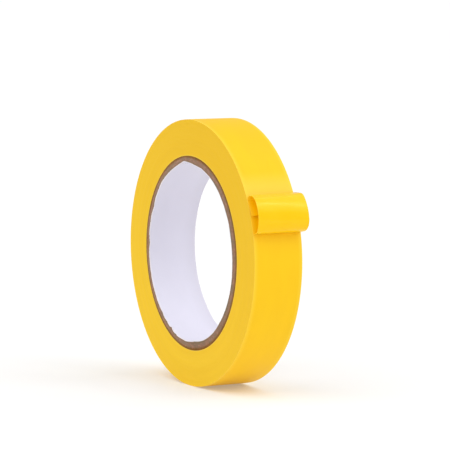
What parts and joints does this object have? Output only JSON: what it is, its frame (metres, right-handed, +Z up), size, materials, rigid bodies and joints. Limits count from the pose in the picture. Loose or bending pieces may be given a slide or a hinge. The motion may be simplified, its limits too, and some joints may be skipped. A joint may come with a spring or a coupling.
{
  "type": "masking tape roll",
  "caption": "Roll of yellow crepe paper masking tape on a paper-lined board core, standing on its tread with its free end curled back into a pull tab.",
  "frame": {"origin": "on the surface the roll stands on, under the middle of its axis and its width", "axes": "+Z up, +Y along the roll's axis, +X towards the curled free end"},
  "size_m": [0.1181, 0.0224, 0.1137],
  "materials": {
    "crepe_backing": "satin, very fine crepe",
    "tape_edges": "matt, cut edges of many turns",
    "adhesive_film": "glossy, clear film on yellow paper",
    "kraft_board": "matt",
    "liner_paper": "smooth, faint sheen"
  },
  "bodies": {
    "roll": {"core_liner": "liner_paper", "core_ply_1": "kraft_board", "core_ply_2": "kraft_board", "core_ply_3": "kraft_board", "core_ply_4": "kraft_board", "core_ply_5": "kraft_board", "core_ply_6": "kraft_board", "wound_turns": "tape_edges", "outer_turn": "crepe_backing", "outer_turn_adhesive": "adhesive_film"},
    "tail_1": {"tail_1": "crepe_backing", "tail_1_adhesive": "adhesive_film"},
    "tail_2": {"tail_2": "crepe_backing", "tail_2_adhesive": "adhesive_film"},
    "tail_3": {"tail_3": "crepe_backing", "tail_3_adhesive": "adhesive_film"},
    "tail_4": {"tail_4": "crepe_backing", "tail_4_adhesive": "adhesive_film"},
    "tail_5": {"tail_5": "crepe_backing", "tail_5_adhesive": "adhesive_film"},
    "tail_6": {"tail_6": "crepe_backing", "tail_6_adhesive": "adhesive_film"},
    "tail_7": {"tail_7": "crepe_backing", "tail_7_adhesive": "adhesive_film"},
    "tail_8": {"tail_8": "crepe_backing", "tail_8_adhesive": "adhesive_film"}
  },
  "joints": [
    {"name": "tail_peel", "type": "hinge", "parent": "roll", "child": "tail_1", "pos_m": [0.05549, 0, 0.06989], "axis": [0, 1, 0], "range_deg": [0, 80]},
    {"name": "tail_uncurl", "type": "hinge", "parent": "tail_1", "child": "tail_2", "pos_m": [0.0588, 0, 0.07092], "axis": [0, 1, 0], "range_deg": [0, 45.52]},
    {"name": "tail_bend_3", "type": "hinge", "parent": "tail_2", "child": "tail_3", "pos_m": [0.06093, 0, 0.07436], "axis": [0, 1, 0], "range_deg": [0, 35.46]},
    {"name": "tail_bend_4", "type": "hinge", "parent": "tail_3", "child": "tail_4", "pos_m": [0.06055, 0, 0.07952], "axis": [0, 1, 0], "range_deg": [0, 29.83]},
    {"name": "tail_bend_5", "type": "hinge", "parent": "tail_4", "child": "tail_5", "pos_m": [0.05747, 0, 0.08409], "axis": [0, 1, 0], "range_deg": [0, 29.77]},
    {"name": "tail_bend_6", "type": "hinge", "parent": "tail_5", "child": "tail_6", "pos_m": [0.05237, 0, 0.0866], "axis": [0, 1, 0], "range_deg": [0, 38.27]},
    {"name": "tail_bend_7", "type": "hinge", "parent": "tail_6", "child": "tail_7", "pos_m": [0.0506, 0, 0.08619], "axis": [0, 1, 0], "range_deg": [0, 71.96]},
    {"name": "tail_bend_8", "type": "hinge", "parent": "tail_7", "child": "tail_8", "pos_m": [0.0504, 0, 0.08425], "axis": [0, 1, 0], "range_deg": [0, 40.7]}
  ],
  "couplings": [
    {"joint": "tail_bend_3", "follows": "tail_uncurl", "ratio": 0.7788},
    {"joint": "tail_bend_4", "follows": "tail_uncurl", "ratio": 0.6551},
    {"joint": "tail_bend_5", "follows": "tail_uncurl", "ratio": 0.6538},
    {"joint": "tail_bend_6", "follows": "tail_uncurl", "ratio": 0.8405},
    {"joint": "tail_bend_7", "follows": "tail_uncurl", "ratio": 1.5806},
    {"joint": "tail_bend_8", "follows": "tail_uncurl", "ratio": 0.8939}
  ]
}
